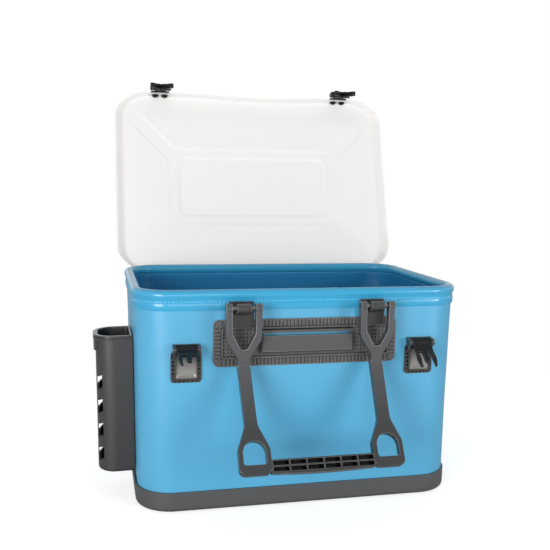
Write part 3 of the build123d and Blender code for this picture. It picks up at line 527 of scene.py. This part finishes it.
# polyester thread: paler than the sheet, so each stitch shows as a light dash
thread = bpy.data.materials.new("polyester thread")
thread.use_nodes = True
thread.node_tree.nodes["Principled BSDF"].inputs["Base Color"].default_value = linear("#62C4EC")
thread.node_tree.nodes["Principled BSDF"].inputs["Roughness"].default_value = 0.5
stitch_pitch = 4.4
stitch_size = (3.1, 0.8, 1.15)
for row_name, out in (("stitches_outer", 1.15), ("stitches_inner", -3.45)):
    guide_sizes = (top_width + 2 * out, wall_depth + 2 * out, wall_corner + out)
    guide = rounded_loop(row_name + " guide", *guide_sizes, 0)
    keep_outline()
    corners = [vertex.co for vertex in guide.data.vertices]
    edges = [edge.vertices for edge in guide.data.edges]
    round_length = sum((corners[start] - corners[end]).length for start, end in edges)
    guide = as_flat_curve()
    count = round(round_length / (stitch_pitch * MM))
    bpy.ops.object.select_all(action="DESELECT")
    bpy.ops.mesh.primitive_uv_sphere_add(segments=8, ring_count=6, radius=0.5)
    row = bpy.context.object
    row.name = row_name
    row.scale = [c * MM for c in stitch_size]
    bpy.ops.object.transform_apply(location=True, rotation=True, scale=True)
    copies = row.modifiers.new("copies", "ARRAY")
    copies.use_relative_offset = False
    copies.use_constant_offset = True
    copies.constant_offset_displace = (round_length / count, 0, 0)
    copies.count = count
    follow = row.modifiers.new("follow the rim", "CURVE")
    follow.object = guide
    apply_all(row)
    bpy.data.objects.remove(guide)
    for vertex in row.data.vertices:
        vertex.co.z += stitch_height * MM
    row.data.materials.append(thread)
    bpy.ops.object.shade_smooth()
    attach(row, "tub")


# Lid: one translucent white sheet of EVA, vacuum formed over a mould, with a soft skirt, four
# panels between raised diagonal bands and a pad in the middle. It hangs a little slack in front.
lid_under = 259.8
lid_wall = 2.4
lid_middle = -1.4
plateau_half_x = 193.5
plateau_half_y = 131.1
plateau_corner = 34.0
hinge_line = (0.0, 136.5, 247.5)
lid_open = 107.0
grid_step = 2.0
lid_edge = 0.7

# the relief: a raised pad, and sunk panels beside and beyond it with diagonal bands between them
relief_y = 4.0
pad_half_x, pad_half_y, pad_corner = 116, 47, 14
pad_rise, pad_slope = 1.9, 3.6
panel_sink, panel_slope, panel_fade = 1.15, 2.6, 22
side_panel_start, side_panel_end = 130, 186
end_panel_start, end_panel_end = 58.5, 113
band_x, band_y, band_slant, band_width = 121, 30, 1.07, 19.4
# the whole sheet is crowned a little and uneven, and its front edge is slack between the clips
crown_rise, crown_half_x, crown_half_y = 1.3, 200, 140
long_slack, short_slack, slack_fade = 0.35, 0.2, 30
long_x, long_y, short_x, short_y = 41, 33, 23, 29
front_slack = 3.0
front_middle, front_half = 6, 118
front_start, front_run = 60, 70

bpy.ops.object.select_all(action="DESELECT")
columns = round(2 * plateau_half_x / grid_step)
rows = round(2 * plateau_half_y / grid_step)
bpy.ops.mesh.primitive_grid_add(x_subdivisions=columns, y_subdivisions=rows, size=2)
lid = bpy.context.object
lid.name = "lid_sheet"


def ease(value):
    """A smooth step from 0 to 1."""
    value = share(value)
    return value * value * (3 - 2 * value)


def box_distance(x, y, half_x, half_y, radius):
    """Distance into a rounded rectangle, positive inside."""
    over_x = abs(x) - half_x + radius
    over_y = abs(y) - half_y + radius
    outside = math.hypot(max(over_x, 0), max(over_y, 0)) + min(max(over_x, over_y), 0)
    return radius - outside


def relief(x, y):
    """Height of the sheet's underside over its flat plane, in millimetres."""
    v = y - relief_y
    ax, av = abs(x), abs(v)
    height = pad_rise * ease(box_distance(x, v, pad_half_x, pad_half_y, pad_corner) / pad_slope)
    band = (av - band_y - band_slant * (ax - band_x)) / math.hypot(1, band_slant)
    side = min((ax - side_panel_start) / panel_slope, (side_panel_end - ax) / panel_fade, -band / panel_slope)
    end = min((av - end_panel_start) / panel_slope, (end_panel_end - av) / panel_fade,
              (band - band_width) / panel_slope)
    height -= panel_sink * ease(side + 0.5)
    height -= panel_sink * ease(end + 0.5)
    crown = crown_rise * (1 - (x / crown_half_x) ** 2) * (1 - (y / crown_half_y) ** 2)
    slack = long_slack * math.sin(x / long_x + 1.1) * math.sin(y / long_y - 0.6)
    slack += short_slack * math.sin(x / short_x - y / short_y)
    inward = box_distance(x, y - lid_middle, plateau_half_x, plateau_half_y, plateau_corner)
    return height + crown + slack * ease(inward / slack_fade)


def slack_front(x, y):
    """How far the sheet draws back towards the hinge between its two clips."""
    return front_slack * ease(1 - abs(x - front_middle) / front_half) * ease((-y - front_start) / front_run)


corner_x = plateau_half_x - plateau_corner
corner_y = plateau_half_y - plateau_corner
for vertex in lid.data.vertices:
    x = vertex.co.x * plateau_half_x
    y = vertex.co.y * plateau_half_y
    over_x = (abs(x) - corner_x) / plateau_corner
    over_y = (abs(y) - corner_y) / plateau_corner
    if over_x > 0 and over_y > 0:
        round_x = over_x * math.sqrt(1 - over_y * over_y / 2)
        round_y = over_y * math.sqrt(1 - over_x * over_x / 2)
        x = math.copysign(corner_x + plateau_corner * round_x, x)
        y = math.copysign(corner_y + plateau_corner * round_y, y)
    y += lid_middle
    vertex.co = Vector((x, y, lid_under + relief(x, y))) * MM

# the skirt: how far each ring is outside the plateau at the sides and in front, and its height
skirt_steps = ((2.3, 1.9, 259.6), (4.2, 3.2, 258.7), (6.5, 3.9, 256.6))
skirt_steps += ((8.9, 3.9, 254.1), (11.3, 3.9, 251.6), (13.5, 3.9, 249.5))
corner_pull = 0.3
bpy.ops.object.mode_set(mode="EDIT")
bpy.ops.mesh.select_all(action="SELECT")
bpy.ops.mesh.region_to_loop()
last_x, last_y = 0.0, 0.0
for out_x, out_y, height in skirt_steps:
    bpy.ops.mesh.extrude_region_move(TRANSFORM_OT_translate={"value": (0, 0, 0)})
    shape = bmesh.from_edit_mesh(lid.data)
    for vertex in shape.verts:
        if vertex.select:
            x, y = vertex.co.x / MM, vertex.co.y / MM - lid_middle
            over_x = max(abs(x) - corner_x - last_x * corner_pull, 0.0)
            over_y = max(abs(y) - corner_y - last_y * corner_pull, 0.0)
            size = math.hypot(over_x, over_y) or 1.0
            vertex.co.x += math.copysign(over_x / size * (out_x - last_x), x) * MM
            vertex.co.y += math.copysign(over_y / size * (out_y - last_y), y) * MM
            vertex.co.z = height * MM
    bmesh.update_edit_mesh(lid.data)
    last_x, last_y = out_x, out_y
bpy.ops.object.mode_set(mode="OBJECT")
for vertex in lid.data.vertices:
    x, y = vertex.co.x / MM, vertex.co.y / MM
    vertex.co.y += slack_front(x, y) * MM
bpy.ops.object.mode_set(mode="EDIT")
bpy.ops.mesh.select_all(action="SELECT")
bpy.ops.mesh.normals_make_consistent(inside=False)
bpy.ops.object.mode_set(mode="OBJECT")
plateau_face = lid.data.polygons[len(lid.data.polygons) // 3]
thicken(lid, lid_wall, 1 if plateau_face.normal.z > 0 else -1)
soft_edge = lid.modifiers.new("soft edge", "BEVEL")
soft_edge.width = lid_edge * MM
soft_edge.segments = 2
soft_edge.limit_method = "ANGLE"
soft_edge.angle_limit = math.radians(60)
apply_all(lid)
hinge_turn = Matrix.Translation(Vector(hinge_line) * MM) @ Matrix.Rotation(math.radians(-lid_open), 4, "X")
hinge_turn = hinge_turn @ Matrix.Translation(-Vector(hinge_line) * MM)
lid.data.transform(hinge_turn)
face_out(lid)

# translucent EVA with a satin face: light from behind comes through, so the sheet glows evenly
lid_eva = bpy.data.materials.new("EVA sheet, vacuum formed, translucent white")
lid_eva.use_nodes = True
tree = lid_eva.node_tree
shader = tree.nodes["Principled BSDF"]
shader.inputs["Base Color"].default_value = linear("#FAF9F8")
shader.inputs["Roughness"].default_value = 0.42
through = add(tree, "ShaderNodeBsdfTranslucent", {"Color": linear("#FBFAF8")})
sheet = add(tree, "ShaderNodeMixShader", {0: 0.5}, {1: shader.outputs[0], 2: through.outputs[0]})
tree.links.new(sheet.outputs[0], tree.nodes["Material Output"].inputs["Surface"])
lid.data.materials.append(lid_eva)
bpy.ops.object.shade_smooth_by_angle(angle=math.radians(50))
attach(lid, "lid")
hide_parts("lid_shell")


# Hinge strip: a flexible strip of the binding sheet, welded to the rim's hem behind and to the
# lid's rear skirt. It folds along the hinge line and is cut away where the rear handle turns.
strip_lengths = ((-150.0, -103.0), (-54.0, 54.0), (103.0, 150.0))
# its run from the hem over the fold to the open lid: how far back, and how high
strip_line = ((130.7, 226.5), (130.7, 240.6), (132.2, 242.6), (135.4, 245.2), (136.5, 246.6), (136.9, 247.7))
strip_line += ((138.6, 247.4), (142.0, 246.3), (149.3, 244.1))
strip_thickness = 1.3
bpy.ops.object.select_all(action="DESELECT")
strip_pieces = []
for start, end in strip_lengths:
    bpy.ops.mesh.primitive_plane_add(size=1, location=(0, 0, 0))
    strip = bpy.context.object
    bpy.ops.object.mode_set(mode="EDIT")
    bpy.ops.mesh.select_all(action="SELECT")
    bpy.ops.mesh.merge(type="CENTER")
    shape = bmesh.from_edit_mesh(strip.data)
    shape.verts.ensure_lookup_table()
    shape.verts[0].co = Vector((start, *strip_line[0])) * MM
    bmesh.update_edit_mesh(strip.data)
    bpy.ops.mesh.select_all(action="SELECT")
    bpy.ops.mesh.extrude_region_move(TRANSFORM_OT_translate={"value": ((end - start) * MM, 0, 0)})
    bpy.ops.mesh.select_all(action="SELECT")
    for (y0, z0), (y1, z1) in zip(strip_line, strip_line[1:]):
        move = (0, (y1 - y0) * MM, (z1 - z0) * MM)
        bpy.ops.mesh.extrude_region_move(TRANSFORM_OT_translate={"value": move})
    bpy.ops.object.mode_set(mode="OBJECT")
    strip_pieces.append(strip)
bpy.ops.object.select_all(action="DESELECT")
for strip in strip_pieces:
    strip.select_set(True)
bpy.context.view_layer.objects.active = strip_pieces[1]
bpy.ops.object.join()
strip = bpy.context.object
strip.name = "hinge_strip"
thicken(strip, strip_thickness, 0)
apply_all(strip)
face_out(strip)
strip.data.materials.append(binding_blue)
bpy.ops.object.shade_smooth_by_angle(angle=math.radians(50))
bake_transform(strip)
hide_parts("hinge_strip_tub", "hinge_strip_lid")


# Handle plates: moulded PVC plates welded to the front and rear wall, with a ribbed border, a
# tray, a finger opening and a grab bridge across it.
# satin moulded PVC: grey-black; painted shade makes the grooves between ribs black, and painted highlights
# pale the ribs' edges, where they would catch the light
plate_pvc = moulding("moulded PVC plate", "#4A4A4A", "#030303", "#B4B1AE", 0.3, 1.0, 0.02, reach_mm=2.8)
dress(plate_pvc, "front_plate", "rear_plate")


# Hinge brackets and pins: each bracket is moulded nylon, welded over the plate's top edge. A plain
# steel pin goes through its eye and the two legs of the handle's fork.
# moulded nylon: near black and satin, with pale glints along its edges
bracket_nylon = moulding("moulded nylon bracket", "#363635", "#040404", "#A8A6A4", 0.25, 0.9, 0.02)
dress(bracket_nylon, "front_bracket_left", "front_bracket_right")
dress(bracket_nylon, "rear_bracket_left", "rear_bracket_right")
# turned steel: a grey metal with soft reflections
pin_steel = bpy.data.materials.new("turned steel")
pin_steel.use_nodes = True
shader = pin_steel.node_tree.nodes["Principled BSDF"]
shader.inputs["Base Color"].default_value = linear("#6E6E6E")
shader.inputs["Metallic"].default_value = 1.0
shader.inputs["Roughness"].default_value = 0.3
dress(pin_steel, "front_pins", "rear_pins", "wall_clip_pins", "lid_clip_pins")


# Carrying handles: one nylon moulding each, with two forks, two bent arms that end in D-shaped
# frames, and a half-round grip whose outer face is open in pockets to keep the wall thin.
# moulded nylon: satin grey, with painted highlights along the edges of the arms and painted shade that
# darkens it to near black at the frames
handle_nylon = moulding("moulded nylon handle", "#47484A", "#030303", "#B4B5B8", 0.25, 0.8, 0.015,
                        edge_mm=1.0, reach_mm=5.0)
# painted shade: the colour darkens from arms_high down to frames_low, where it keeps this share of its
# brightness
frames_low, arms_high = 112, 176
frame_painted_shade = 0.42
tree = handle_nylon.node_tree
shader = tree.nodes["Principled BSDF"]
arm_tone = shader.inputs["Base Color"].links[0].from_socket
place = add(tree, "ShaderNodeTexCoord")
up = add(tree, "ShaderNodeSeparateXYZ", {}, {0: place.outputs["Object"]})
ends = {"From Min": frames_low * MM, "From Max": arms_high * MM, "To Min": frame_painted_shade, "To Max": 1.0}
fall = add(tree, "ShaderNodeMapRange", ends, {0: up.outputs[2]})
toned = add(tree, "ShaderNodeMixRGB", {"blend_type": "MULTIPLY", "Fac": 1.0},
            {"Color1": arm_tone, "Color2": fall.outputs[0]})
tree.links.new(toned.outputs[0], shader.inputs["Base Color"])
dress(handle_nylon, "front_handle", "rear_handle")


# Clips: side-release clips of moulded acetal. The plugs turn on small PVC plates welded to the
# wall, the sockets on tabs riveted to the lid's front skirt.
# moulded acetal: the blackest of the fittings, with only faint reflections
clip_acetal = moulding("moulded acetal clip", "#19191A", "#030303", "#7A7A7A", 0.4, 0.8, 0.01,
                       edge_mm=0.5, gloss=0.15)
dress(clip_acetal, "wall_clip_left", "wall_clip_right", "lid_clip_left", "lid_clip_right")
dress(clip_acetal, "lid_tab_left", "lid_tab_right", "lid_rivets")

# the plates that the plugs turn on, of PVC: black ribs and lugs round a dish, with a pale sheen painted into
# the dish's colour
base_pvc_dish_sheen = moulding("moulded PVC clip base, painted sheen in the dish", "#2F2F2E", "#030303", "#8A8886",
                           0.22, 1.0, 0.01, edge_mm=0.6)
# painted sheen: a pale colour in the dish that fades out at its border, strongest low in it and fading
# towards its top
dish_sheen_hex = "#807E7B"
dish_border, dish_fade = 5.8, 1
# heights over the plate's foot, from none of the sheen to all of it
dish_foot, dish_top = (5.2, 6.4), (33.0, 13.0)
tree = base_pvc_dish_sheen.node_tree
shader = tree.nodes["Principled BSDF"]
plain_tone = shader.inputs["Base Color"].links[0].from_socket
base_low, base_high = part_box("wall_clip_base_left")
base_middle = abs(base_low[0] + base_high[0]) / 2
dish_half = (base_high[0] - base_low[0]) / 2 - dish_border * MM
place = add(tree, "ShaderNodeTexCoord")
axes = add(tree, "ShaderNodeSeparateXYZ", {}, {0: place.outputs["Object"]})
from_middle = add(tree, "ShaderNodeMath", {"operation": "ABSOLUTE"}, {0: axes.outputs[0]})
from_middle = add(tree, "ShaderNodeMath", {"operation": "SUBTRACT", 1: base_middle},
                  {0: from_middle.outputs[0]})
from_middle = add(tree, "ShaderNodeMath", {"operation": "ABSOLUTE"}, {0: from_middle.outputs[0]})
dish = add(tree, "ShaderNodeMapRange", {"From Min": dish_half, "From Max": dish_half - dish_fade * MM},
           {0: from_middle.outputs[0]})
for start, end in (dish_foot, dish_top):
    ends = {"From Min": base_low[2] + start * MM, "From Max": base_low[2] + end * MM}
    fade = add(tree, "ShaderNodeMapRange", ends, {0: axes.outputs[2]})
    dish = add(tree, "ShaderNodeMath", {"operation": "MULTIPLY"}, {0: dish.outputs[0], 1: fade.outputs[0]})
toned = add(tree, "ShaderNodeMixRGB", {"Color2": linear(dish_sheen_hex)},
            {"Fac": dish.outputs[0], "Color1": plain_tone})
tree.links.new(toned.outputs[0], shader.inputs["Base Color"])
dress(base_pvc_dish_sheen, "wall_clip_base_left", "wall_clip_base_right")


# Rod holder: a tube of moulded PP, bonded to the left wall, with windows that drain it and a
# smooth collar round its mouth to hold a rod's butt.
# PP moulded against a chequered tool: dark grey squares, drawn coarse enough to show in the render
rod_pp = moulding("moulded PP, chequered grain", "#3A3B3C", "#1C1C1D", "#5A5A5A", 0.42, 1.0, 0.01)
chequer_pitch = 5.0
chequer_depth = 0.25
tube_edge = 0.7
tree = rod_pp.node_tree
shader = tree.nodes["Principled BSDF"]
place = add(tree, "ShaderNodeTexCoord")
axes = add(tree, "ShaderNodeSeparateXYZ", {}, {0: place.outputs["Object"]})
tube_low, tube_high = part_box("rod_tube")
from_middle = add(tree, "ShaderNodeMath", {"operation": "SUBTRACT", 1: (tube_low[1] + tube_high[1]) / 2},
                  {0: axes.outputs[1]})
from_middle = add(tree, "ShaderNodeMath", {"operation": "ABSOLUTE"}, {0: from_middle.outputs[0]})
across = add(tree, "ShaderNodeMath", {"operation": "ADD"}, {0: axes.outputs[0], 1: from_middle.outputs[0]})
waves = []
for run in (across.outputs[0], axes.outputs[2]):
    scaled = add(tree, "ShaderNodeMath", {"operation": "MULTIPLY", 1: 2 * math.pi / (chequer_pitch * MM)},
                 {0: run})
    waves.append(add(tree, "ShaderNodeMath", {"operation": "SINE"}, {0: scaled.outputs[0]}))
chequer = add(tree, "ShaderNodeMath", {"operation": "MULTIPLY"},
              {0: waves[0].outputs[0], 1: waves[1].outputs[0]})
level = add(tree, "ShaderNodeMapRange", {"From Min": -1.0, "From Max": 1.0}, {0: chequer.outputs[0]})
tint = add(tree, "ShaderNodeMixRGB", {"Color1": linear("#1D1E1F"), "Color2": linear("#3A3B3C")},
           {"Fac": level.outputs[0]})
tree.links.new(tint.outputs[0], shader.inputs["Base Color"])
edge = add(tree, "ShaderNodeBevel", {"Radius": tube_edge * MM})
bump = add(tree, "ShaderNodeBump", {"Strength": 0.7, "Distance": chequer_depth * MM},
           {"Height": level.outputs[0], "Normal": edge.outputs[0]})
tree.links.new(bump.outputs[0], shader.inputs["Normal"])
dress(rod_pp, "rod_tube")
# polished PP: darker and smoother than the tube, with a painted highlight as a bright line along its edges
collar_pp = moulding("moulded PP, polished", "#262728", "#0A0A0A", "#B0B0B0", 0.22, 1.0, 0.01)
dress(collar_pp, "rod_collar", "rod_backing")


scene.view_settings.view_transform = "Standard"
